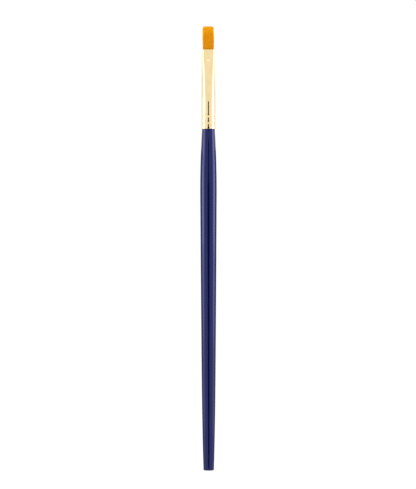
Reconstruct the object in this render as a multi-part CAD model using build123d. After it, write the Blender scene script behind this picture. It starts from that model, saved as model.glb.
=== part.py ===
"""Flat paint brush: a long lacquered wooden handle, a gold ferrule pressed flat at its mouth, and a synthetic tuft.

The brush stands upright. The origin is the centre of the flat butt end, +Z runs up the handle to the tip of the
hair, and the wide face of the hair looks along -Y. All sizes are millimetres.
"""

from build123d import *
import math
import os

# Lengths along the brush
OVERALL_LENGTH = 260.0
HAIR_OUT = 13.7
FERRULE_LENGTH = 46.5
FERRULE_TOP = OVERALL_LENGTH - HAIR_OUT
FERRULE_BOTTOM = FERRULE_TOP - FERRULE_LENGTH
BARREL_TOP = FERRULE_TOP - 31.5

# Handle: outer radius of the lacquered wood at heights above the butt
BUTT_RADIUS = 3.04
BUTT_ROUNDING = 0.5
BUTT_SLOPE = 0.03
HANDLE_OUTLINE = [(12.0, 3.39), (41.0, 3.90), (100.0, 4.42), (152.0, 4.74), (167.0, 4.80), (181.5, 4.56), (193.2, 4.11)]
NECK_RADIUS = 3.75
LACQUER = 0.18
LACQUER_IN_FERRULE = 2.4

# Tenon of bare wood inside the ferrule, and the glue round it
TENON_RADIUS = 3.5
TENON_LENGTH = 13.8
TENON_CHAMFER = 0.6
GLUE_SETBACK = 0.6
GLUE_ABOVE_TENON = 0.8

# Ferrule: a thin drawn tube, round where it grips the handle
BARREL_RADIUS = 4.12
WALL = 0.3
CRIMP_HEIGHTS = [3.5, 7.4]
CRIMP_WIDTH = 1.1
CRIMP_DEPTH = 0.15
TENON_DENT = 0.08

# Ferrule above the barrel: height above the barrel, half width, half thickness, squareness (2 is an ellipse)
FERRULE_SECTIONS = [
    (0.0, 4.12, 4.12, 2.0),
    (1.5, 4.115, 4.08, 2.0),
    (4.0, 4.09, 3.92, 2.0),
    (9.5, 4.00, 3.44, 2.0),
    (16.5, 3.89, 2.80, 2.05),
    (21.5, 3.85, 2.30, 2.2),
    (24.5, 3.83, 1.72, 2.5),
    (27.0, 3.79, 1.20, 2.8),
    (29.0, 3.73, 1.04, 2.95),
    (31.5, 3.65, 1.00, 3.0),
]
SECTION_POINTS = 32

# Resin that holds the hair roots, heights below the ferrule's mouth
RESIN_TOP = 5.5
RESIN_BOTTOM = 17.0
ROOT_DEPTH = 15.5

# Tuft: height above the ferrule's mouth, half width, half thickness, squareness
TUFT_SECTIONS = [
    (-ROOT_DEPTH, 2.45, 1.30, 2.0),
    (-9.0, 2.85, 0.95, 2.2),
    (-4.5, 3.30, 0.66, 2.8),
    (0.0, 3.26, 0.62, 3.0),
    (6.0, 3.32, 0.54, 3.1),
    (11.0, 3.24, 0.36, 3.2),
    (14.2, 3.12, 0.20, 3.2),
]
TIP_CORNER = 1.2


def section(height, half_width, half_thickness, squareness):
    """Return a level face, wide along X and thin along Y: a circle, or a smooth rounded outline."""
    if half_width == half_thickness:
        return Face(Wire([Edge.make_circle(half_width, Plane.XY.offset(height))]))
    points = []
    for step in range(SECTION_POINTS):
        angle = 2 * math.pi * step / SECTION_POINTS
        across, through = math.cos(angle), math.sin(angle)
        x = half_width * math.copysign(abs(across) ** (2 / squareness), across)
        y = half_thickness * math.copysign(abs(through) ** (2 / squareness), through)
        points.append((x, y, height))
    return Face(Wire([Edge.make_spline(points, periodic=True)]))


def tapered(sections, base, inset=0.0):
    """Return the smooth solid through a table of sections, drawn in by inset all round."""
    return loft([section(base + up, wide - inset, thick - inset, square) for up, wide, thick, square in sections])


def dipped_edges(radius, depth, low, high):
    """Return the edges of a straight wall line from low to high, with a round dip at each crimp."""
    edges = []
    start = (radius, low)
    for crimp in CRIMP_HEIGHTS:
        middle = FERRULE_BOTTOM + crimp
        entry = (radius, middle - CRIMP_WIDTH / 2)
        leave = (radius, middle + CRIMP_WIDTH / 2)
        edges += [Line(start, entry), ThreePointArc(entry, (radius - depth, middle), leave)]
        start = leave
    return edges + [Line(start, (radius, high))]


def turned(edges):
    """Return the solid made by turning a closed outline of (radius, height) edges about Z."""
    outline = make_face(Curve() + edges)
    return revolve(Plane.XZ * outline, Axis.Z)


def handle_body(inset, top):
    """Return the handle's turned body below top, drawn in by inset from the lacquered surface."""
    rounding = BUTT_ROUNDING - inset
    corner = BUTT_RADIUS - BUTT_ROUNDING
    side = [(BUTT_RADIUS - inset, BUTT_ROUNDING)]
    side += [(radius - inset, height) for height, radius in HANDLE_OUTLINE]
    side += [(NECK_RADIUS - inset, FERRULE_BOTTOM)]
    diagonal = rounding * math.sqrt(0.5)
    edges = [
        Line((0, inset), (corner, inset)),
        ThreePointArc((corner, inset), (corner + diagonal, BUTT_ROUNDING - diagonal), side[0]),
        Spline(*side, tangents=[(BUTT_SLOPE, 1), (0, 1)]),
        Line(side[-1], (NECK_RADIUS - inset, top)),
        Line((NECK_RADIUS - inset, top), (0, top)),
        Line((0, top), (0, inset)),
    ]
    return turned(edges)


def make_wood_core(lacquer_end, tenon_top):
    """Return the bare wood: the turned handle under its lacquer and the tenon that stands in the ferrule."""
    chamfer_start = tenon_top - TENON_CHAMFER
    edges = dipped_edges(TENON_RADIUS, TENON_DENT, lacquer_end, chamfer_start)
    edges += [
        Line((TENON_RADIUS, chamfer_start), (TENON_RADIUS - TENON_CHAMFER, tenon_top)),
        Line((TENON_RADIUS - TENON_CHAMFER, tenon_top), (0, tenon_top)),
        Line((0, tenon_top), (0, lacquer_end)),
        Line((0, lacquer_end), (TENON_RADIUS, lacquer_end)),
    ]
    return handle_body(LACQUER, lacquer_end) + turned(edges)


def make_tenon_adhesive(wood_core, lacquer_end, tenon_top):
    """Return the glue that fills the space between the handle's end and the ferrule's bore."""
    low = FERRULE_BOTTOM + GLUE_SETBACK
    high = tenon_top + GLUE_ABOVE_TENON
    edges = dipped_edges(BARREL_RADIUS - WALL, CRIMP_DEPTH, low, high)
    edges += [Line((BARREL_RADIUS - WALL, high), (0, high)), Line((0, high), (0, low))]
    edges += [Line((0, low), (BARREL_RADIUS - WALL, low))]
    return turned(edges) - handle_body(0.0, lacquer_end) - wood_core


def make_ferrule():
    """Return the drawn metal tube: a round barrel with two crimps, a cone, and a mouth pressed flat."""
    bore = BARREL_RADIUS - WALL
    barrel_edges = dipped_edges(BARREL_RADIUS, CRIMP_DEPTH, FERRULE_BOTTOM, BARREL_TOP)
    barrel_edges += dipped_edges(bore, CRIMP_DEPTH, FERRULE_BOTTOM, BARREL_TOP)
    barrel_edges += [Line((bore, BARREL_TOP), (BARREL_RADIUS, BARREL_TOP))]
    barrel_edges += [Line((bore, FERRULE_BOTTOM), (BARREL_RADIUS, FERRULE_BOTTOM))]
    cone = tapered(FERRULE_SECTIONS, BARREL_TOP) - tapered(FERRULE_SECTIONS, BARREL_TOP, WALL)
    return turned(barrel_edges) + cone


def make_filament_tuft():
    """Return the hair from its roots to its chisel edge, with softly rounded corners at the tip."""
    width = 2 * max(half_width for _, half_width, _, _ in TUFT_SECTIONS)
    front = fillet(Rectangle(width, 2 * OVERALL_LENGTH).vertices(), TIP_CORNER)
    return tapered(TUFT_SECTIONS, FERRULE_TOP) & extrude(Plane.XZ * front, width, both=True)


def make_root_resin(tuft):
    """Return the resin plug that fills the ferrule round the hair roots."""
    height = RESIN_BOTTOM - RESIN_TOP
    slab = Pos(0, 0, FERRULE_TOP - RESIN_TOP - height / 2) * Box(4 * BARREL_RADIUS, 4 * BARREL_RADIUS, height)
    return (tapered(FERRULE_SECTIONS, BARREL_TOP, WALL) & slab) - tuft


def build():
    """Return every piece by its node name."""
    lacquer_end = FERRULE_BOTTOM + LACQUER_IN_FERRULE
    tenon_top = FERRULE_BOTTOM + TENON_LENGTH
    wood_core = make_wood_core(lacquer_end, tenon_top)
    tuft = make_filament_tuft()
    return {
        "wood_core": wood_core,
        "lacquer_coat": handle_body(0.0, lacquer_end) - wood_core,
        "tenon_adhesive": make_tenon_adhesive(wood_core, lacquer_end, tenon_top),
        "ferrule": make_ferrule(),
        "root_resin": make_root_resin(tuft),
        "filament_tuft": tuft,
    }


os.makedirs("parts", exist_ok=True)
for node, piece in build().items():
    export_step(piece, f"parts/{node}.step")
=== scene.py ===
"""Flat paint brush: its surfaces, hair and finishes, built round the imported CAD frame.

The brush stands upright with its butt at the origin. +Z runs up the handle to the hair, and the wide face
of the hair looks along -Y. Lengths of the brush are millimetres, and are turned to metres where a mesh is
made. Lengths of the studio are metres.
"""

from __future__ import annotations

import logging
import math
import random
from dataclasses import dataclass
from enum import Enum
from typing import Any, Iterable, Sequence

import bmesh
import bpy
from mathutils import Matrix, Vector

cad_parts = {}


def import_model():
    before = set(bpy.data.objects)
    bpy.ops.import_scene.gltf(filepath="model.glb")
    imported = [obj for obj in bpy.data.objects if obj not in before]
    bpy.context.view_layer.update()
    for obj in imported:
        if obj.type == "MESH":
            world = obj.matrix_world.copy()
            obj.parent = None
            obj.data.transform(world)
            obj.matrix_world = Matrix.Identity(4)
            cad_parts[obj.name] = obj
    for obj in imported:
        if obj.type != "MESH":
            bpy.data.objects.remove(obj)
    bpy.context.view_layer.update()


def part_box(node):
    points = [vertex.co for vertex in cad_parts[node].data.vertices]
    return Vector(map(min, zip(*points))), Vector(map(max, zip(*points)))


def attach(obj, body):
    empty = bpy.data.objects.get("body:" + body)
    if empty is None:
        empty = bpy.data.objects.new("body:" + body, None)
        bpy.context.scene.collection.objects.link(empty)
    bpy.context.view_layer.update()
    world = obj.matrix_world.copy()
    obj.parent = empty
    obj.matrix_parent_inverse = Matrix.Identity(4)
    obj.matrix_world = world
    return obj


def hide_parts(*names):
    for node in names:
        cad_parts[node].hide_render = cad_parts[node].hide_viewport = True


Tree = bpy.types.NodeTree
Socket = bpy.types.NodeSocket
Turn = tuple[float, float, float]

LOG = logging.getLogger("paint_brush")
MM = 0.001
HAIR_SEED = 20

# Tolerances: on a count of steps, then in millimetres on a place and for points that are one.
ROUND_OFF = 1e-9
SAME_PLACE = 1e-3
WELD = 1e-4

# Where nearly all the values of a noise lie.
NOISE_SPAN = (0.35, 0.75)


class Tier(Enum):
    """How many sides a round piece is given."""

    SMOOTH = 128
    FILAMENT = 5


def linear(code: str) -> tuple[float, float, float, float]:
    """Turn an sRGB hex colour into linear red, green, blue and a full alpha, by the standard's own curve.

    Args:
        code: The colour as # and six hex digits.

    Returns:
        The four linear values.
    """
    values = []
    for start in (1, 3, 5):
        level = int(code[start : start + 2], 16) / 255
        values.append(level / 12.92 if level <= 0.04045 else ((level + 0.055) / 1.055) ** 2.4)
    return (values[0], values[1], values[2], 1.0)


def add_node(
    tree: Tree,
    kind: str,
    settings: dict[Any, Any] | None = None,
    links: dict[Any, Socket] | None = None,
) -> bpy.types.Node:
    """Add one node with its settings and its incoming links.

    Args:
        tree: The node tree of a material or of the world.
        kind: The node's type name.
        settings: Values for the node's own properties, or for its inputs by name or number.
        links: The output that feeds each named or numbered input.

    Returns:
        The new node.
    """
    node = tree.nodes.new(kind)
    for key, value in (settings or {}).items():
        if isinstance(key, str) and key in node.bl_rna.properties:
            setattr(node, key, value)
        else:
            node.inputs[key].default_value = value
    for key, socket in (links or {}).items():
        tree.links.new(socket, node.inputs[key])
    return node


def add_ramp(tree: Tree, feed: Socket, stops: Iterable[tuple[float, str]]) -> Socket:
    """Add a colour ramp with a colour at each place.

    Args:
        tree: The node tree.
        feed: The output that picks the place on the ramp.
        stops: Places from 0 to 1, each with its hex colour.

    Returns:
        The ramp's colour output.
    """
    ramp = add_node(tree, "ShaderNodeValToRGB", {}, {"Fac": feed})
    elements = ramp.color_ramp.elements
    wanted = list(stops)
    while len(elements) < len(wanted):
        elements.new(0.5)
    for element, (place, code) in zip(elements, wanted):
        element.position = place
        element.color = linear(code)
    return ramp.outputs["Color"]


def empty_material(name: str) -> bpy.types.Material:
    """Make a material whose node tree is empty.

    Args:
        name: The material's name.

    Returns:
        The material.
    """
    material = bpy.data.materials.new(name)
    material.use_nodes = True
    material.node_tree.nodes.clear()
    return material


def start_material(name: str) -> tuple[bpy.types.Material, Tree, Socket]:
    """Start a material that is mapped by real places on the object.

    Args:
        name: The material's name.

    Returns:
        The material, its tree, and the Object coordinates output.
    """
    material = empty_material(name)
    tree = material.node_tree
    return material, tree, add_node(tree, "ShaderNodeTexCoord").outputs["Object"]


def finish_material(
    tree: Tree,
    settings: dict[str, Any],
    links: dict[str, Socket] | None = None,
    kind: str = "ShaderNodeBsdfPrincipled",
) -> None:
    """Add the shader and link it to the material's output.

    Args:
        tree: The material's node tree.
        settings: The shader's plain values.
        links: The output that feeds each other input.
        kind: The shader's type name.
    """
    shader = add_node(tree, kind, settings, links)
    add_node(tree, "ShaderNodeOutputMaterial", {}, {"Surface": shader.outputs[0]})


@dataclass(frozen=True)
class Patches:
    """How large the patches of an uneven finish are, in millimetres.

    Attributes:
        across: Their size across the brush.
        along: Their size along the brush.
        detail: How many finer layers they have.
    """

    across: float
    along: float
    detail: float = 2.0


def pattern(tree: Tree, coordinates: Socket, patches: Patches) -> Socket:
    """Add noise with patches of a real size.

    Args:
        tree: The node tree.
        coordinates: Object coordinates in metres.
        patches: The size of the patches.

    Returns:
        The noise's value output.
    """
    across, along = 1 / (patches.across * MM), 1 / (patches.along * MM)
    scale = {"Scale": (across, across, along)}
    mapping = add_node(tree, "ShaderNodeMapping", scale, {"Vector": coordinates})
    settings = {"Scale": 1.0, "Detail": patches.detail}
    noise = add_node(tree, "ShaderNodeTexNoise", settings, {"Vector": mapping.outputs["Vector"]})
    return noise.outputs["Fac"]


def add_bump(tree: Tree, feed: Socket, height: float, over: Socket | None = None) -> Socket:
    """Add fine relief to a surface.

    Args:
        tree: The node tree.
        feed: The value that rises and falls.
        height: The relief's height in millimetres.
        over: Coarser relief that this one lies on.

    Returns:
        The relief's normal output.
    """
    links = {"Height": feed} if over is None else {"Height": feed, "Normal": over}
    settings = {"Strength": 1.0, "Distance": height * MM}
    return add_node(tree, "ShaderNodeBump", settings, links).outputs["Normal"]


def ranged(tree: Tree, feed: Socket, span: tuple[float, float], result: tuple[float, float]) -> Socket:
    """Map one range of a value onto another, held inside it.

    Args:
        tree: The node tree.
        feed: The value to map.
        span: The values that become the ends of the result.
        result: The lowest and highest result.

    Returns:
        The mapped output.
    """
    settings = {"From Min": span[0], "From Max": span[1], "To Min": result[0], "To Max": result[1]}
    return add_node(tree, "ShaderNodeMapRange", settings, {"Value": feed}).outputs["Result"]


def add_sum(tree: Tree, first: Socket, second: Socket) -> Socket:
    """Return the sum of two values."""
    node = add_node(tree, "ShaderNodeMath", {"operation": "ADD"}, {0: first, 1: second})
    return node.outputs["Value"]


def height_above(tree: Tree, coordinates: Socket, low: float, high: float) -> Socket:
    """Return how far up a stretch of the brush a point is, from 0 at low to 1 at high, both in metres."""
    split = add_node(tree, "ShaderNodeSeparateXYZ", {}, {"Vector": coordinates})
    return ranged(tree, split.outputs["Z"], (low, high), (0.0, 1.0))


@dataclass(frozen=True)
class DippedLacquer:
    """Navy cellulose lacquer, dipped in several coats over primed wood and left to level.

    It gives a deep, nearly black blue with a clear glossy skin. The skin swells a little along the turned
    wood, so highlights run straight but waver at their edges. Fingers leave it a shade duller in places.

    Attributes:
        deep: The colour where the coats are thickest.
        thin: The colour where they are thinnest.
        sheen: The tint of what the skin mirrors.
        ior: The skin's refractive index.
        gloss: Its roughness where it is cleanest and where it is dullest.
        blend: The values of the depth pattern where one colour ends and the other starts.
        depth: How the coats' thickness varies.
        handling: How the dullness varies.
        swell: The long waves in the skin, swell_height high.
        peel: The fine dimples in the skin, peel_height high.
    """

    deep: str = "#020634"
    thin: str = "#040A3E"
    sheen: str = "#A9B1FF"
    ior: float = 1.70
    gloss: tuple[float, float] = (0.07, 0.15)
    blend: tuple[float, float] = (0.3, 0.75)
    depth: Patches = Patches(2.0, 18.0, 3.0)
    handling: Patches = Patches(7.0, 15.0, 4.0)
    swell: Patches = Patches(5.0, 34.0, 1.0)
    swell_height: float = 0.012
    peel: Patches = Patches(0.9, 0.9, 1.0)
    peel_height: float = 0.0006

    def make(self) -> bpy.types.Material:
        """Make the lacquer.

        Returns:
            Its material.
        """
        material, tree, place = start_material("navy_dipped_lacquer")
        colour = add_ramp(tree, pattern(tree, place, self.depth), zip(self.blend, (self.deep, self.thin)))
        dull = ranged(tree, pattern(tree, place, self.handling), NOISE_SPAN, self.gloss)
        swell = add_bump(tree, pattern(tree, place, self.swell), self.swell_height)
        peel = add_bump(tree, pattern(tree, place, self.peel), self.peel_height, swell)
        settings = {"IOR": self.ior, "Specular Tint": linear(self.sheen)}
        finish_material(tree, settings, {"Base Color": colour, "Roughness": dull, "Normal": peel})
        return material


@dataclass(frozen=True)
class GoldPlate:
    """Pale gold plating on a drawn and polished metal tube.

    It mirrors the room in a warm straw colour. Drawing leaves fine lines along the tube, which soften
    reflections a little, and handling leaves a faint duller mottling.

    Attributes:
        bright: The colour of the clean plating.
        tarnished: The colour of the duller patches.
        polish: The roughness of the clean plating and of the duller patches.
        blend: The values of the mottling where one colour ends and the other starts.
        lines: The drawing lines, line_depth deep.
        mottling: The duller patches.
    """

    bright: str = "#FFE7B4"
    tarnished: str = "#F8DCA2"
    polish: tuple[float, float] = (0.045, 0.10)
    blend: tuple[float, float] = (0.42, 0.8)
    lines: Patches = Patches(0.12, 22.0)
    line_depth: float = 0.0005
    mottling: Patches = Patches(2.6, 5.2, 4.0)

    def make(self) -> bpy.types.Material:
        """Make the plating.

        Returns:
            Its material.
        """
        material, tree, place = start_material("pale_gold_plate")
        lines = pattern(tree, place, self.lines)
        mottling = pattern(tree, place, self.mottling)
        colour = add_ramp(tree, mottling, zip(self.blend, (self.bright, self.tarnished)))
        relief = add_bump(tree, lines, self.line_depth)
        dull = ranged(tree, mottling, NOISE_SPAN, self.polish)
        links = {"Base Color": colour, "Roughness": dull, "Normal": relief}
        finish_material(tree, {"Metallic": 1.0}, links)
        return material


@dataclass(frozen=True)
class GoldenNylon:
    """Tapered nylon filaments dyed golden orange.

    Each is a slightly clear, smooth rod, so the tuft has a silky sheen. The hair is a little deeper in
    colour where it leaves the ferrule, and is painted lighter and yellower towards the tip, as painted
    light for the light that shines through the thin filament ends.

    Attributes:
        tones: Colours up the hair, from 0 at the ferrule to 1 at the cut edge. The lighter top stops are
            painted light for light through the thin tips.
        streaks: The difference in colour between neighbouring filaments.
        streak_reach: How far up or down the tones a streak can pick.
        side_start: How far from the middle the sides of the tuft start to thin, in millimetres.
        side_end: How far from the middle they are thinnest.
        painted_side_lift: How much further up the tones they are painted, as painted light for light
            through the thin sides.
        roughness: The filaments' roughness.
        ior: Their refractive index.
        shine: How strongly they mirror, against plain nylon at 0.5.
        clearness: How much of the light passes under the surface.
        light_depth: How deep that light goes, in millimetres.
        light_tint: How far red, green and blue go against each other.
    """

    # Painted light: the stops near the tip are lighter to stand in for light shining through the thin
    # filament ends.
    tones: tuple[tuple[float, str], ...] = (
        (0.0, "#E49308"),
        (0.3, "#E89508"),
        (0.68, "#F19A0A"),
        (0.92, "#FFB60C"),
        (1.0, "#FFC01C"),
    )
    streaks: Patches = Patches(0.12, 9.0)
    streak_reach: float = 0.15
    side_start: float = 2.6
    side_end: float = 3.3
    painted_side_lift: float = 0.4
    roughness: float = 0.42
    ior: float = 1.53
    shine: float = 0.06
    clearness: float = 0.4
    light_depth: float = 0.3
    light_tint: tuple[float, float, float] = (1.0, 0.5, 0.1)

    def painted_side_light(self, tree: Tree, place: Socket) -> Socket:
        """Paint light onto the thin sides by lifting their tones, for the light that comes through the hair
        there.

        Args:
            tree: The node tree.
            place: Object coordinates in metres.

        Returns:
            How far they are lifted by the painted light.
        """
        split = add_node(tree, "ShaderNodeSeparateXYZ", {}, {"Vector": place})
        across = add_node(tree, "ShaderNodeMath", {"operation": "ABSOLUTE"}, {0: split.outputs["X"]})
        span = (self.side_start * MM, self.side_end * MM)
        return ranged(tree, across.outputs["Value"], span, (0.0, self.painted_side_lift))

    def make(self, low: float, high: float) -> bpy.types.Material:
        """Make the hair.

        Args:
            low: Where it leaves the ferrule, in metres.
            high: Where it ends.

        Returns:
            Its material.
        """
        material, tree, place = start_material("golden_nylon_filament")
        centred = {"operation": "MULTIPLY_ADD", 1: 2 * self.streak_reach, 2: -self.streak_reach}
        streak = add_node(tree, "ShaderNodeMath", centred, {0: pattern(tree, place, self.streaks)})
        # Painted light: the thin sides are lifted up the tones for light coming through the hair, added to
        # the streaks.
        streak_and_side_light = add_sum(tree, self.painted_side_light(tree, place), streak.outputs["Value"])
        picked = add_sum(tree, height_above(tree, place, low, high), streak_and_side_light)
        settings = {
            "Roughness": self.roughness,
            "IOR": self.ior,
            "Specular IOR Level": self.shine,
            "Subsurface Weight": self.clearness,
            "Subsurface Scale": self.light_depth * MM,
            "Subsurface Radius": self.light_tint,
        }
        finish_material(tree, settings, {"Base Color": add_ramp(tree, picked, self.tones)})
        return material


@dataclass(frozen=True)
class TurnedBirch:
    """Bare turned birch: pale, close-grained wood with fine growth lines along the handle."""

    early: str = "#DDBE90"
    late: str = "#C49A66"
    blend: tuple[float, float] = (0.35, 0.7)
    grain: Patches = Patches(0.7, 45.0, 5.0)
    grain_depth: float = 0.01
    roughness: float = 0.6

    def make(self) -> bpy.types.Material:
        """Make the bare wood.

        Returns:
            Its material.
        """
        material, tree, place = start_material("turned_birch")
        grain = pattern(tree, place, self.grain)
        colour = add_ramp(tree, grain, zip(self.blend, (self.early, self.late)))
        links = {"Base Color": colour, "Normal": add_bump(tree, grain, self.grain_depth)}
        finish_material(tree, {"Roughness": self.roughness}, links)
        return material


@dataclass(frozen=True)
class SetGlue:
    """Glue or resin that has set hard, cloudy in places, with a wavy poured surface."""

    name: str
    colour: str
    cloud: str
    roughness: float
    ior: float = 1.5
    blend: tuple[float, float] = (0.35, 0.7)
    waves: Patches = Patches(1.2, 1.2, 4.0)
    wave_height: float = 0.02

    def make(self) -> bpy.types.Material:
        """Make the set glue.

        Returns:
            Its material.
        """
        material, tree, place = start_material(self.name)
        waves = pattern(tree, place, self.waves)
        colour = add_ramp(tree, waves, zip(self.blend, (self.colour, self.cloud)))
        links = {"Base Color": colour, "Normal": add_bump(tree, waves, self.wave_height)}
        finish_material(tree, {"Roughness": self.roughness, "IOR": self.ior}, links)
        return material


def deselect_all() -> None:
    """Leave edit mode and deselect every object."""
    if bpy.context.mode != "OBJECT":
        bpy.ops.object.mode_set(mode="OBJECT")
    bpy.ops.object.select_all(action="DESELECT")


def spaced(low: float, high: float, step: float) -> list[float]:
    """Return evenly spaced values after low, up to and including high, no further apart than step."""
    count = max(1, math.ceil((high - low) / step - ROUND_OFF))
    return [low + (high - low) * index / count for index in range(1, count + 1)]


@dataclass(frozen=True)
class Curve:
    """A smooth value along the brush through a few known places.

    Attributes:
        knots: Places, each with its value, in rising order.
    """

    knots: tuple[tuple[float, float], ...]

    def slope(self, index: int) -> float:
        """Find the slope at a knot, which is that of the line between its neighbours.

        Args:
            index: The knot's number.

        Returns:
            The slope.
        """
        before = self.knots[max(index - 1, 0)]
        after = self.knots[min(index + 1, len(self.knots) - 1)]
        return (after[1] - before[1]) / (after[0] - before[0])

    def at(self, place: float) -> float:
        """Find the value at a place, held at the end values outside the knots.

        Args:
            place: The place.

        Returns:
            The value.
        """
        if place <= self.knots[0][0]:
            return self.knots[0][1]
        if place >= self.knots[-1][0]:
            return self.knots[-1][1]
        index = max(i for i, knot in enumerate(self.knots) if knot[0] <= place)
        (low, start), (high, end) = self.knots[index], self.knots[index + 1]
        span = high - low
        t = (place - low) / span
        rise = (2 * t**3 - 3 * t**2 + 1) * start + (3 * t**2 - 2 * t**3) * end
        lead = (t**3 - 2 * t**2 + t) * self.slope(index) + (t**3 - t**2) * self.slope(index + 1)
        return rise + lead * span


class RingSkin:
    """A skin drawn up ring by ring along +Z from one circle, as a turner's outline is."""

    def __init__(self, name: str, sides: int, radius: float, height: float) -> None:
        """Add the first ring.

        Args:
            name: The piece's name.
            sides: How many sides each ring has.
            radius: The first ring's radius in millimetres.
            height: The first ring's height in millimetres.
        """
        deselect_all()
        place = (0.0, 0.0, height * MM)
        bpy.ops.mesh.primitive_circle_add(vertices=sides, radius=radius * MM, location=place)
        bpy.ops.object.transform_apply(location=True, rotation=True, scale=True)
        self.piece = bpy.context.active_object
        self.piece.name = name
        self.piece.data.name = name
        self.half_width = radius
        self.half_depth = radius
        self.height = height
        bpy.ops.object.mode_set(mode="EDIT")
        bpy.ops.mesh.select_mode(type="VERT")
        bpy.ops.mesh.select_all(action="SELECT")

    def grow(self, height: float, half_width: float, half_depth: float | None = None) -> None:
        """Draw the open edge up or in to a new ring.

        Args:
            height: The new ring's height in millimetres.
            half_width: Its half size along X.
            half_depth: Its half size along Y, or None for the same as half_width.
        """
        half_depth = half_width if half_depth is None else half_depth
        lift = (0.0, 0.0, (height - self.height) * MM)
        bpy.ops.mesh.extrude_region_move(TRANSFORM_OT_translate={"value": lift})
        bpy.ops.transform.resize(
            value=(half_width / self.half_width, half_depth / self.half_depth, 1.0),
            center_override=(0.0, 0.0, height * MM),
        )
        self.half_width = half_width
        self.half_depth = half_depth
        self.height = height

    def select(self, wanted: Any) -> int:
        """Select the points whose place passes a test.

        Args:
            wanted: A function of a point's place in millimetres.

        Returns:
            How many points were selected.
        """
        shape = bmesh.from_edit_mesh(self.piece.data)
        for point in shape.verts:
            point.select_set(bool(wanted(point.co / MM)))
        shape.select_flush(True)
        shape.select_flush(False)
        bmesh.update_edit_mesh(self.piece.data)
        return sum(point.select for point in shape.verts)

    def close_ring(self, height: float, radius: float) -> None:
        """Close one open ring with a fan of faces.

        Args:
            height: The ring's height in millimetres.
            radius: The ring's radius in millimetres.
        """
        reach = radius + SAME_PLACE
        self.select(lambda at: abs(at.z - height) < SAME_PLACE and math.hypot(at.x, at.y) < reach)
        bpy.ops.mesh.edge_face_add()
        bpy.ops.mesh.poke()

    def finish(self, smooth_angle: float = 40.0) -> bpy.types.Object:
        """Turn the faces outwards, shade them and leave edit mode.

        Args:
            smooth_angle: Edges sharper than this many degrees stay crisp.

        Returns:
            The finished piece.
        """
        bpy.ops.mesh.select_all(action="SELECT")
        bpy.ops.mesh.remove_doubles(threshold=WELD * MM)
        bpy.ops.mesh.normals_make_consistent(inside=False)
        bpy.ops.object.mode_set(mode="OBJECT")
        bpy.ops.object.shade_smooth_by_angle(angle=math.radians(smooth_angle))
        return self.piece


def apply_modifier(piece: bpy.types.Object, kind: str, settings: dict[str, Any]) -> None:
    """Add a modifier to the active piece and apply it.

    Args:
        piece: The piece, which is active.
        kind: The modifier's type.
        settings: Its properties.
    """
    modifier = piece.modifiers.new(kind.title(), kind)
    for key, value in settings.items():
        setattr(modifier, key, value)
    bpy.ops.object.modifier_apply(modifier=modifier.name)


def add_wall(piece: bpy.types.Object, wall: float) -> None:
    """Give the active piece its true wall, measured inwards in millimetres."""
    apply_modifier(piece, "SOLIDIFY", {"thickness": wall * MM, "offset": -1.0, "use_even_offset": True})


def dress(piece: bpy.types.Object, material: bpy.types.Material) -> None:
    """Give a piece one material all over."""
    piece.data.materials.clear()
    piece.data.materials.append(material)


def place_piece(piece: bpy.types.Object, node: str) -> None:
    """Ride a piece on the brush and let it stand for its CAD node.

    Args:
        piece: The piece.
        node: The CAD node.
    """
    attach(piece, "root")
    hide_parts(node)
    LOG.info("%s stands for %s with %d faces", piece.name, node, len(piece.data.polygons))


@dataclass
class LacqueredHandle:
    """The turned handle's lacquer, from the small flat butt to the neck inside the ferrule.

    Attributes:
        neck: The height of the ferrule's lower edge.
        top: The height where the lacquer ends inside the ferrule.
        swell: The handle's largest radius.
        butt_radius: Its radius just above the rounding of the butt.
        butt_rounding: The radius of that rounding.
        neck_radius: Its radius where it enters the ferrule.
        coat: The lacquer's thickness.
        ring_step: The largest gap between rings along the handle.
        rounding_steps: How many rings round the butt's edge.
        pole_radius: The radius of the small ring that closes the butt.
        flat_ring: Where a ring crosses the flat butt, as a share of its radius.
    """

    neck: float
    top: float
    swell: float
    butt_radius: float = 3.04
    butt_rounding: float = 0.5
    neck_radius: float = 3.75
    coat: float = 0.18
    ring_step: float = 2.6
    rounding_steps: int = 6
    pole_radius: float = 0.25
    flat_ring: float = 0.6

    def outline(self) -> Curve:
        """Return the handle's radius along its length, thickest at five sixths of the way up."""
        knots = (
            (self.butt_rounding, self.butt_radius),
            (12.0, 3.39),
            (41.0, 3.90),
            (100.0, 4.42),
            (152.0, self.swell - 0.06),
            (167.0, self.swell),
            (181.5, 4.56),
            (193.2, 4.11),
            (self.neck, self.neck_radius),
        )
        return Curve(knots)

    def build(self) -> bpy.types.Object:
        """Model the lacquer as a closed shell with its true thickness.

        Returns:
            The lacquer piece.
        """
        skin = RingSkin("lacquer_shell", Tier.SMOOTH.value, self.pole_radius, 0.0)
        flat = self.butt_radius - self.butt_rounding
        skin.grow(0.0, flat * self.flat_ring)
        skin.grow(0.0, flat)
        for step in range(1, self.rounding_steps + 1):
            turn = math.pi / 2 * step / self.rounding_steps
            lift = self.butt_rounding * (1 - math.cos(turn))
            skin.grow(lift, flat + self.butt_rounding * math.sin(turn))
        outline = self.outline()
        for height in spaced(self.butt_rounding, self.neck, self.ring_step):
            skin.grow(height, outline.at(height))
        skin.grow(self.top, self.neck_radius)
        skin.close_ring(0.0, self.pole_radius)
        piece = skin.finish()
        add_wall(piece, self.coat)
        return piece


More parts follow.
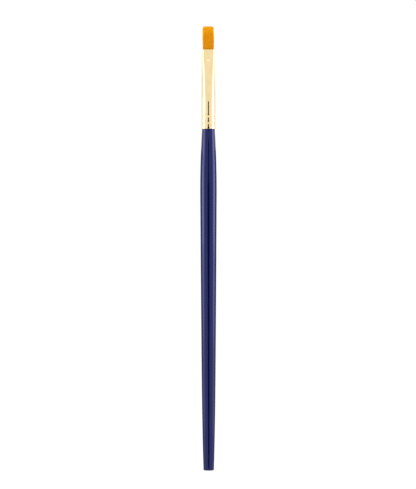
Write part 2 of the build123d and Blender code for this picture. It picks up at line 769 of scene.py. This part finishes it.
@dataclass
class CrimpedFerrule:
    """The drawn gold tube: a round barrel with two crimps, a cone, and a mouth pressed flat between plates.

    Attributes:
        low: The height of its lower edge.
        high: The height of its mouth.
        radius: The barrel's outer radius.
        wall: The tube's wall.
        crimps: The crimps' heights above the lower edge.
        crimp_width: How wide each crimp is along the tube.
        crimp_depth: How far each is pressed in.
        crimp_steps: How many rings each crimp has.
        barrel_step: The largest gap between rings on the plain barrel.
        cone_start: Where the cone starts, above the lower edge.
        cone_step: The largest gap between rings on the cone.
        press_start: Where the plates reach down to, above the lower edge.
        press_step: The largest gap between rings that the plates reach.
        press_margin: How far inside its two ends the pressed part is eased.
        press_easing: How many times it is eased.
        mouth_half_depth: Half the depth of the flattened mouth.
        crown: How much of its bulge a pressed face keeps.
        edge_round: The rounding of the tube's two edges.
        edge_segments: How many faces each rounding has.
    """

    low: float
    high: float
    radius: float
    wall: float = 0.3
    crimps: tuple[float, ...] = (3.5, 7.4)
    crimp_width: float = 1.15
    crimp_depth: float = 0.15
    crimp_steps: int = 14
    barrel_step: float = 1.5
    cone_start: float = 15.0
    cone_step: float = 1.2
    press_start: float = 35.5
    press_step: float = 0.3
    press_margin: float = 0.5
    press_easing: int = 3
    mouth_half_depth: float = 0.96
    crown: float = 0.16
    edge_round: float = 0.07
    edge_segments: int = 3

    def half_width(self) -> Curve:
        """Return the tube's half width, seen from the front, at heights above its lower edge."""
        return Curve(
            (
                (self.cone_start, self.radius),
                (19.0, self.radius - 0.03),
                (24.5, 4.00),
                (31.5, 3.89),
                (38.0, 3.84),
                (42.0, 3.79),
                (44.0, 3.73),
                (self.high - self.low, 3.65),
            )
        )

    def half_depth(self) -> Curve:
        """Return the cone's half depth before its mouth is pressed."""
        return Curve(
            (
                (self.cone_start, self.radius),
                (17.0, self.radius - 0.06),
                (19.0, 3.92),
                (24.5, 3.44),
                (31.5, 2.80),
                (36.5, 2.32),
                (41.0, 1.92),
                (self.high - self.low, 1.50),
            )
        )

    def press_gap(self) -> Curve:
        """Return half the gap between the plates that press the mouth flat."""
        return Curve(
            (
                (self.press_start, 2.50),
                (37.5, 2.19),
                (39.3, 1.84),
                (40.9, 1.46),
                (42.2, 1.21),
                (43.5, 1.11),
                (44.9, self.mouth_half_depth + 0.09),
                (self.high - self.low, self.mouth_half_depth),
            )
        )

    def barrel_rings(self) -> Iterable[tuple[float, float]]:
        """Run up the barrel, with a smooth groove at each crimp.

        Yields:
            Each ring's height and radius.
        """
        start = 0.0
        for crimp in self.crimps:
            edge = crimp - self.crimp_width / 2
            yield from ((up, self.radius) for up in spaced(start, edge, self.barrel_step))
            for step in range(1, self.crimp_steps + 1):
                across = step / self.crimp_steps
                dip = math.sin(math.pi * across) ** 2
                yield crimp + (across - 0.5) * self.crimp_width, self.radius - self.crimp_depth * dip
            start = crimp + self.crimp_width / 2
        yield from ((up, self.radius) for up in spaced(start, self.cone_start, self.barrel_step))

    def press_mouth(self, skin: RingSkin, heights: Sequence[float]) -> None:
        """Flatten both wide faces of the tube's upper end.

        Args:
            skin: The tube, still in edit mode.
            heights: The rings that the plates reach, above the tube's lower edge.
        """
        gap = self.press_gap()
        for up in heights:
            limit = gap.at(up)
            for side in (-1, 1):
                found = skin.select(
                    lambda place: abs(place.z - self.low - up) < SAME_PLACE and place.y * side > limit
                )
                if found:
                    pivot = (0.0, side * limit * MM, (self.low + up) * MM)
                    bpy.ops.transform.resize(value=(1.0, self.crown, 1.0), center_override=pivot)

    def build(self) -> bpy.types.Object:
        """Model the tube with its true wall and slightly rounded edges.

        Returns:
            The ferrule piece.
        """
        skin = RingSkin("ferrule_tube", Tier.SMOOTH.value, self.radius, self.low)
        for up, radius in self.barrel_rings():
            skin.grow(self.low + up, radius)
        wide, deep = self.half_width(), self.half_depth()
        cone = spaced(self.cone_start, self.press_start, self.cone_step)
        pressed = spaced(self.press_start, self.high - self.low, self.press_step)
        for up in cone + pressed:
            skin.grow(self.low + up, wide.at(up), deep.at(up))
        self.press_mouth(skin, pressed)
        start, end = self.press_start + self.press_margin, self.high - self.press_margin
        skin.select(lambda place: place.z - self.low > start and place.z < end)
        bpy.ops.mesh.vertices_smooth(factor=0.5, repeat=self.press_easing)
        piece = skin.finish(smooth_angle=50.0)
        add_wall(piece, self.wall)
        rounding = {
            "width": self.edge_round * MM,
            "segments": self.edge_segments,
            "limit_method": "ANGLE",
            "angle_limit": math.radians(60),
        }
        apply_modifier(piece, "BEVEL", rounding)
        return piece


@dataclass
class FilamentTuft:
    """Several hundred tapered filaments, packed flat at the mouth and cut to a softly rounded chisel edge.

    Attributes:
        mouth: The height of the ferrule's mouth.
        tip: The height of the longest filaments.
        filament_radius: One filament's radius below its taper.
        spacing: The gap between the centres of neighbouring filaments.
        rooted: How far the filaments reach down into the ferrule.
        mouth_half_width: Half the tuft's width at the mouth.
        mouth_half_depth: Half its depth there.
        tip_corner: The radius of the cut edge's two corners.
        tip_half_width: Half the width that the corners are measured on.
        chisel: How much lower the outer filaments of each wide face are cut.
        ragged: The most by which an ordinary filament is cut short.
        stray_chance: How likely a filament is to be cut shorter still.
        stray_drop: The most by which such a one is short.
        lean: How far the tips lean to one side.
        wander: How far one filament's tip strays across the tuft.
        wander_deep: How far it strays through the tuft, as a share of wander.
        bow: How far its middle strays, as a share of wander.
        bend_power: How strongly the bend gathers towards the tip.
        taper_steps: Places along a filament, each with its share of the full radius.
    """

    mouth: float
    tip: float
    filament_radius: float = 0.056
    spacing: float = 0.116
    rooted: float = 4.0
    mouth_half_width: float = 3.27
    mouth_half_depth: float = 0.62
    tip_corner: float = 1.1
    tip_half_width: float = 3.1
    chisel: float = 0.55
    ragged: float = 0.2
    stray_chance: float = 0.03
    stray_drop: float = 0.7
    lean: float = -0.12
    wander: float = 0.035
    wander_deep: float = 0.6
    bow: float = 0.5
    bend_power: float = 1.5
    taper_steps: tuple[tuple[float, float], ...] = (
        (0.14, 1.0),
        (0.28, 1.0),
        (0.42, 1.0),
        (0.56, 0.98),
        (0.70, 0.92),
        (0.82, 0.82),
        (0.92, 0.68),
        (1.0, 0.46),
    )

    def width_along(self) -> Curve:
        """Return how wide the tuft is at heights above the mouth, as a share of its width there."""
        top = (self.tip - self.mouth, 0.965)
        return Curve(((-self.rooted, 1.0), (0.0, 0.99), (2.5, 0.995), (8.0, 1.035), (11.5, 1.005), top))

    def depth_along(self) -> Curve:
        """Return how deep the tuft is at heights above the mouth, as a share of its depth there."""
        top = (self.tip - self.mouth, 0.28)
        return Curve(((-self.rooted, 1.0), (0.0, 1.0), (3.0, 0.97), (7.0, 0.82), (11.0, 0.55), top))

    def packed_places(self) -> list[tuple[float, float]]:
        """Pack the filaments in staggered rows inside the mouth's flat rounded outline.

        Returns:
            Their places.
        """
        places = []
        row_gap = self.spacing * math.sqrt(0.75)
        rows = int(self.mouth_half_depth / row_gap)
        columns = int(self.mouth_half_width / self.spacing) + 1
        straight = self.mouth_half_width - self.mouth_half_depth
        for row in range(-rows, rows + 1):
            for column in range(-columns, columns + 1):
                x = (column + (0.5 if row % 2 else 0.0)) * self.spacing
                y = row * row_gap
                beyond = max(abs(x) - straight, 0.0)
                if math.hypot(beyond, y) <= self.mouth_half_depth:
                    places.append((x, y))
        return places

    def model_filament(self) -> bpy.types.Object:
        """Model one filament of unit length and true thickness, closed at both ends.

        Returns:
            The filament.
        """
        skin = RingSkin("one_filament", Tier.FILAMENT.value, self.filament_radius, 0.0)
        for share, taper in self.taper_steps:
            skin.grow(share, self.filament_radius * taper)
        for height in (0.0, 1.0):
            skin.select(lambda place: abs(place.z - height) < SAME_PLACE)
            bpy.ops.mesh.edge_face_add()
        return skin.finish(smooth_angle=75.0)

    def cut_height(self, x: float, y: float, dice: random.Random) -> float:
        """Return how high a filament reaches above the mouth.

        Args:
            x: Its place across the mouth.
            y: Its place through the mouth.
            dice: The seeded source of unevenness.

        Returns:
            The height in millimetres.
        """
        across = abs(x) / self.mouth_half_width * self.tip_half_width
        past = max(across - (self.tip_half_width - self.tip_corner), 0.0)
        corner = self.tip_corner - math.sqrt(max(self.tip_corner**2 - past**2, 0.0))
        bevel = self.chisel * (y / self.mouth_half_depth) ** 2
        uneven = self.ragged * dice.random() ** 2
        uneven += self.stray_drop * dice.random() if dice.random() < self.stray_chance else 0.0
        return self.tip - self.mouth - corner - bevel - uneven

    def build(self) -> bpy.types.Object:
        """Copy the filament to every place in the mouth and bend each copy a little.

        Returns:
            The tuft piece.
        """
        dice = random.Random(HAIR_SEED)
        filament = self.model_filament()
        tuft = bmesh.new()
        width, depth = self.width_along(), self.depth_along()
        places = self.packed_places()
        for x, y in places:
            reach = self.cut_height(x, y, dice)
            drift = Vector((dice.gauss(0, self.wander), dice.gauss(0, self.wander * self.wander_deep)))
            twist = dice.uniform(0, math.tau)
            bow = dice.gauss(0, self.wander * self.bow)
            first = len(tuft.verts)
            tuft.from_mesh(filament.data)
            tuft.verts.ensure_lookup_table()
            for point in tuft.verts[first:]:
                share = point.co.z / MM
                above = -self.rooted + share * (reach + self.rooted)
                free = max(above, 0.0) / (self.tip - self.mouth)
                bend = free**self.bend_power
                side_x = point.co.x * math.cos(twist) - point.co.y * math.sin(twist)
                side_y = point.co.x * math.sin(twist) + point.co.y * math.cos(twist)
                swing = math.sin(math.pi * free) * bow
                centre_x = x * width.at(above) + (self.lean + drift.x) * bend + swing
                centre_y = y * depth.at(above) + drift.y * bend
                height = self.mouth + above
                point.co = Vector((centre_x * MM + side_x, centre_y * MM + side_y, height * MM))
        mesh = bpy.data.meshes.new("filament_tuft_hair")
        tuft.to_mesh(mesh)
        tuft.free()
        piece = bpy.data.objects.new("filament_tuft_hair", mesh)
        bpy.context.collection.objects.link(piece)
        bpy.data.objects.remove(filament)
        LOG.info("tuft of %d filaments", len(places))
        return piece


@dataclass(frozen=True)
class SideLight:
    """One band of an upright soft light that faces the brush.

    Attributes:
        name: The light's name.
        angle: Where it stands round the brush.
        spread: How wide it looks from the brush, in degrees.
        low: Its lower edge.
        high: Its upper edge.
        level: How bright it is against white.
    """

    name: str
    angle: float
    spread: float
    low: float
    high: float
    level: float


@dataclass(frozen=True)
class TopLight:
    """One soft square light in front of the brush and above it.

    Attributes:
        name: The light's name.
        lift: Its angle above level, seen from the hair.
        spread: How wide it looks from the hair, in degrees.
        level: How bright it is against white.
        mirrored: Whether shiny surfaces show its reflection.
    """

    name: str
    lift: float
    spread: float
    level: float
    mirrored: bool


@dataclass(frozen=True)
class Card:
    """One upright card that only reflections see.

    Attributes:
        name: The card's name.
        angle: Where it stands round the brush.
        distance: How far it stands from the brush.
        width: Its width.
        low: Its lower edge.
        high: Its upper edge.
        glow: The colour that reflections see, black for a card that only blocks light.
    """

    name: str
    angle: float
    distance: float
    width: float
    low: float
    high: float
    glow: str


@dataclass
class Studio:
    """A white product studio: pale floor, white surroundings, banded side lights, top lights and cards.

    Lengths are metres unless they say millimetres. Angles are degrees round the brush from the front,
    positive to its right.

    Attributes:
        hair_height: The height that the top lights face, in millimetres.
        view_height: The camera's height, in millimetres.
        view_aside: How far the camera stands to the right, in millimetres.
        picture_height: How tall a stretch at the brush fills the picture.
        lens: The camera's focal length in millimetres.
        sensor: The length of its sensor's longer side in millimetres.
        roll: Its roll in degrees.
        ring: How far the lights stand from the brush.
        side_lights: They draw the bright stripes, dimmer at the foot and by the neck.
        top_lights: One makes the spot on the pressed mouth, and one brightens the hair.
        cards: They draw the dark line in front and shade the handle's edges.
        surround: How bright the room is in reflections. It is seen as plain white.
        floor_height: The floor's height.
        floor_size: The length of the floor's sides.
        floor_colour: Its colour.
        floor_glow: How bright it is by itself.
        bounces: How many times light is followed, for its spread through the hair.
    """

    hair_height: float
    view_height: float
    view_aside: float = -0.3
    picture_height: float = 0.28636
    lens: float = 150.0
    sensor: float = 36.0
    roll: float = 0.05
    ring: float = 1.0
    side_lights: tuple[SideLight, ...] = (
        SideLight("left_light_foot", -84.0, 34.0, -0.10, 0.02, 0.65),
        SideLight("left_light_low", -83.0, 26.0, 0.02, 0.12, 1.8),
        SideLight("left_light", -83.0, 34.0, 0.12, 0.262, 2.8),
        SideLight("left_light_neck", -84.0, 28.0, 0.275, 0.345, 2.1),
        SideLight("left_light_head", -71.0, 28.0, 0.262, 0.75, 1.6),
        SideLight("right_light_foot", 88.0, 37.0, -0.10, 0.02, 0.65),
        SideLight("right_light_low", 85.0, 29.0, 0.02, 0.12, 1.8),
        SideLight("right_light", 86.0, 37.0, 0.12, 0.262, 2.7),
        SideLight("right_light_neck", 86.0, 30.0, 0.275, 0.345, 1.7),
        SideLight("right_light_head", 82.0, 33.0, 0.262, 0.75, 1.6),
    )
    top_lights: tuple[TopLight, ...] = (
        TopLight("spark_light", 31.5, 4.5, 0.75, True),
        TopLight("hair_light", 65.0, 50.0, 1.9, False),
    )
    cards: tuple[Card, ...] = (
        Card("dark_front_card", 0.8, 1.0, 0.52, -0.25, 0.215, "#000000"),
        Card("dark_front_card_top", 0.8, 1.0, 0.29, 0.215, 0.345, "#000000"),
        Card("shade_behind_handle", 180.0, 0.025, 0.12, -0.06, 0.190, "#667096"),
    )
    surround: float = 0.93
    floor_height: float = -0.3
    floor_size: float = 60.0
    floor_colour: str = "#7C7C7C"
    floor_glow: float = 0.83
    bounces: int = 16

    def facing(self, angle: float, distance: float, height: float) -> tuple[Vector, Turn]:
        """Find a place round the brush.

        Args:
            angle: Its angle.
            distance: How far it is from the brush.
            height: Its height.

        Returns:
            The place, and the turn that looks back at the brush.
        """
        turn = math.radians(angle)
        place = Vector((math.sin(turn) * distance, -math.cos(turn) * distance, height))
        return place, (math.pi / 2, 0.0, turn)

    def add_camera(self) -> None:
        """Add the camera, square to the wide face of the hair, and make it the scene's own."""
        data = bpy.data.cameras.new("studio_camera")
        data.lens = self.lens
        data.sensor_width = self.sensor
        camera = bpy.data.objects.new("studio_camera", data)
        distance = self.picture_height * self.lens / self.sensor
        camera.location = (self.view_aside * MM, -distance, self.view_height * MM)
        camera.rotation_euler = (math.pi / 2, math.radians(self.roll), 0.0)
        bpy.context.collection.objects.link(camera)
        bpy.context.scene.camera = camera

    def add_soft_light(
        self, name: str, size: tuple[float, float], level: float, place: Vector, turn: Turn
    ) -> bpy.types.Object:
        """Add one soft light that isn't seen itself.

        Args:
            name: The light's name.
            size: Its width and height.
            level: How bright it is against white.
            place: Where its middle is.
            turn: How it is turned.

        Returns:
            The light.
        """
        data = bpy.data.lights.new(name, "AREA")
        data.shape = "RECTANGLE"
        data.size, data.size_y = size
        data.energy = level * math.pi * size[0] * size[1]
        light = bpy.data.objects.new(name, data)
        light.location, light.rotation_euler = place, turn
        light.visible_camera = False
        bpy.context.collection.objects.link(light)
        return light

    def width_at_ring(self, spread: float) -> float:
        """Return how wide a light on the ring is that looks a number of degrees wide from the brush."""
        return 2 * self.ring * math.tan(math.radians(spread / 2))

    def add_side_light(self, light: SideLight) -> None:
        """Add one band of an upright light on the ring.

        Args:
            light: The band.
        """
        place, turn = self.facing(light.angle, self.ring, (light.low + light.high) / 2)
        size = (self.width_at_ring(light.spread), light.high - light.low)
        self.add_soft_light(light.name, size, light.level, place, turn)

    def add_top_light(self, light: TopLight) -> None:
        """Add one square light that faces the hair from the front and above.

        Args:
            light: The light.
        """
        rise = math.radians(light.lift)
        width = self.width_at_ring(light.spread)
        height = self.hair_height * MM + self.ring * math.sin(rise)
        place = Vector((0.0, -self.ring * math.cos(rise), height))
        turn = (math.pi / 2 - rise, 0.0, 0.0)
        added = self.add_soft_light(light.name, (width, width), light.level, place, turn)
        added.visible_glossy = light.mirrored

    def add_plane(
        self, name: str, finish: str, size: float, place: Sequence[float], turn: Turn
    ) -> bpy.types.Object:
        """Add a square plane with an empty material.

        Args:
            name: The plane's name.
            finish: The material's name.
            size: The length of its sides.
            place: Where its middle is.
            turn: How it is turned.

        Returns:
            The plane.
        """
        deselect_all()
        bpy.ops.mesh.primitive_plane_add(size=size, location=place, rotation=turn)
        plane = bpy.context.active_object
        plane.name = name
        dress(plane, empty_material(finish))
        return plane

    def add_card(self, plan: Card) -> None:
        """Add one card that neither the camera nor matt surfaces see.

        Args:
            plan: The card.
        """
        place, turn = self.facing(plan.angle, plan.distance, (plan.low + plan.high) / 2)
        card = self.add_plane(plan.name, plan.name, 1.0, place, turn)
        card.scale = (plan.width, plan.high - plan.low, 1.0)
        card.visible_camera = False
        card.visible_diffuse = False
        card.visible_shadow = False
        glow = {"Color": linear(plan.glow)}
        finish_material(card.active_material.node_tree, glow, kind="ShaderNodeEmission")

    def add_floor(self) -> None:
        """Add the plain pale floor."""
        place = (0.0, 0.0, self.floor_height)
        floor = self.add_plane("studio_floor", "matt_white_sweep", self.floor_size, place, (0.0, 0.0, 0.0))
        settings = {
            "Base Color": linear(self.floor_colour),
            "Roughness": 1.0,
            "Specular IOR Level": 0.0,
            "Emission Color": linear("#FFFFFF"),
            "Emission Strength": self.floor_glow,
        }
        finish_material(floor.active_material.node_tree, settings)

    def add_surroundings(self) -> None:
        """Make the room white, a little dimmer in reflections than where it is seen."""
        world = bpy.data.worlds.new("white_room")
        bpy.context.scene.world = world
        world.use_nodes = True
        tree = world.node_tree
        tree.nodes.clear()
        path = add_node(tree, "ShaderNodeLightPath")
        seen = ranged(tree, path.outputs["Is Camera Ray"], (0.0, 1.0), (self.surround, 1.0))
        room = add_node(tree, "ShaderNodeBackground", {"Color": linear("#FFFFFF")}, {"Strength": seen})
        add_node(tree, "ShaderNodeOutputWorld", {}, {"Surface": room.outputs["Background"]})

    def build(self) -> None:
        """Add everything the brush is seen with, follow light through the hair, and keep white white."""
        scene = bpy.context.scene
        scene.view_settings.view_transform = "Standard"
        scene.cycles.max_bounces = self.bounces
        scene.cycles.diffuse_bounces = self.bounces
        self.add_camera()
        for side_light in self.side_lights:
            self.add_side_light(side_light)
        for top_light in self.top_lights:
            self.add_top_light(top_light)
        for card in self.cards:
            self.add_card(card)
        self.add_floor()
        self.add_surroundings()


def main() -> None:
    """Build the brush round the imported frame."""
    logging.basicConfig(level=logging.INFO, format="%(name)s: %(message)s")
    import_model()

    lacquer_low, lacquer_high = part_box("lacquer_coat")
    ferrule_low, ferrule_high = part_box("ferrule")
    tuft_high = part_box("filament_tuft")[1]
    neck = ferrule_low[2] / MM
    mouth = ferrule_high[2] / MM

    Studio(hair_height=mouth, view_height=132.17).build()

    swell = (lacquer_high[0] - lacquer_low[0]) / 2 / MM
    lacquer = LacqueredHandle(neck=neck, top=lacquer_high[2] / MM, swell=swell).build()
    dress(lacquer, DippedLacquer().make())
    place_piece(lacquer, "lacquer_coat")

    barrel = (ferrule_high[0] - ferrule_low[0]) / 2 / MM
    ferrule = CrimpedFerrule(low=neck, high=mouth, radius=barrel).build()
    dress(ferrule, GoldPlate().make())
    place_piece(ferrule, "ferrule")

    tuft = FilamentTuft(mouth=mouth, tip=tuft_high[2] / MM).build()
    dress(tuft, GoldenNylon().make(ferrule_high[2], tuft_high[2]))
    place_piece(tuft, "filament_tuft")

    hidden = {
        "wood_core": TurnedBirch(),
        "tenon_adhesive": SetGlue("dried_white_glue", "#D9CBA4", "#C9B88A", 0.55),
        "root_resin": SetGlue("cured_amber_resin", "#9A6A22", "#7C5218", 0.2),
    }
    for node, finish in hidden.items():
        dress(bpy.data.objects[node], finish.make())
        LOG.info("%s keeps its CAD shape", node)


if __name__ == "__main__":
    main()
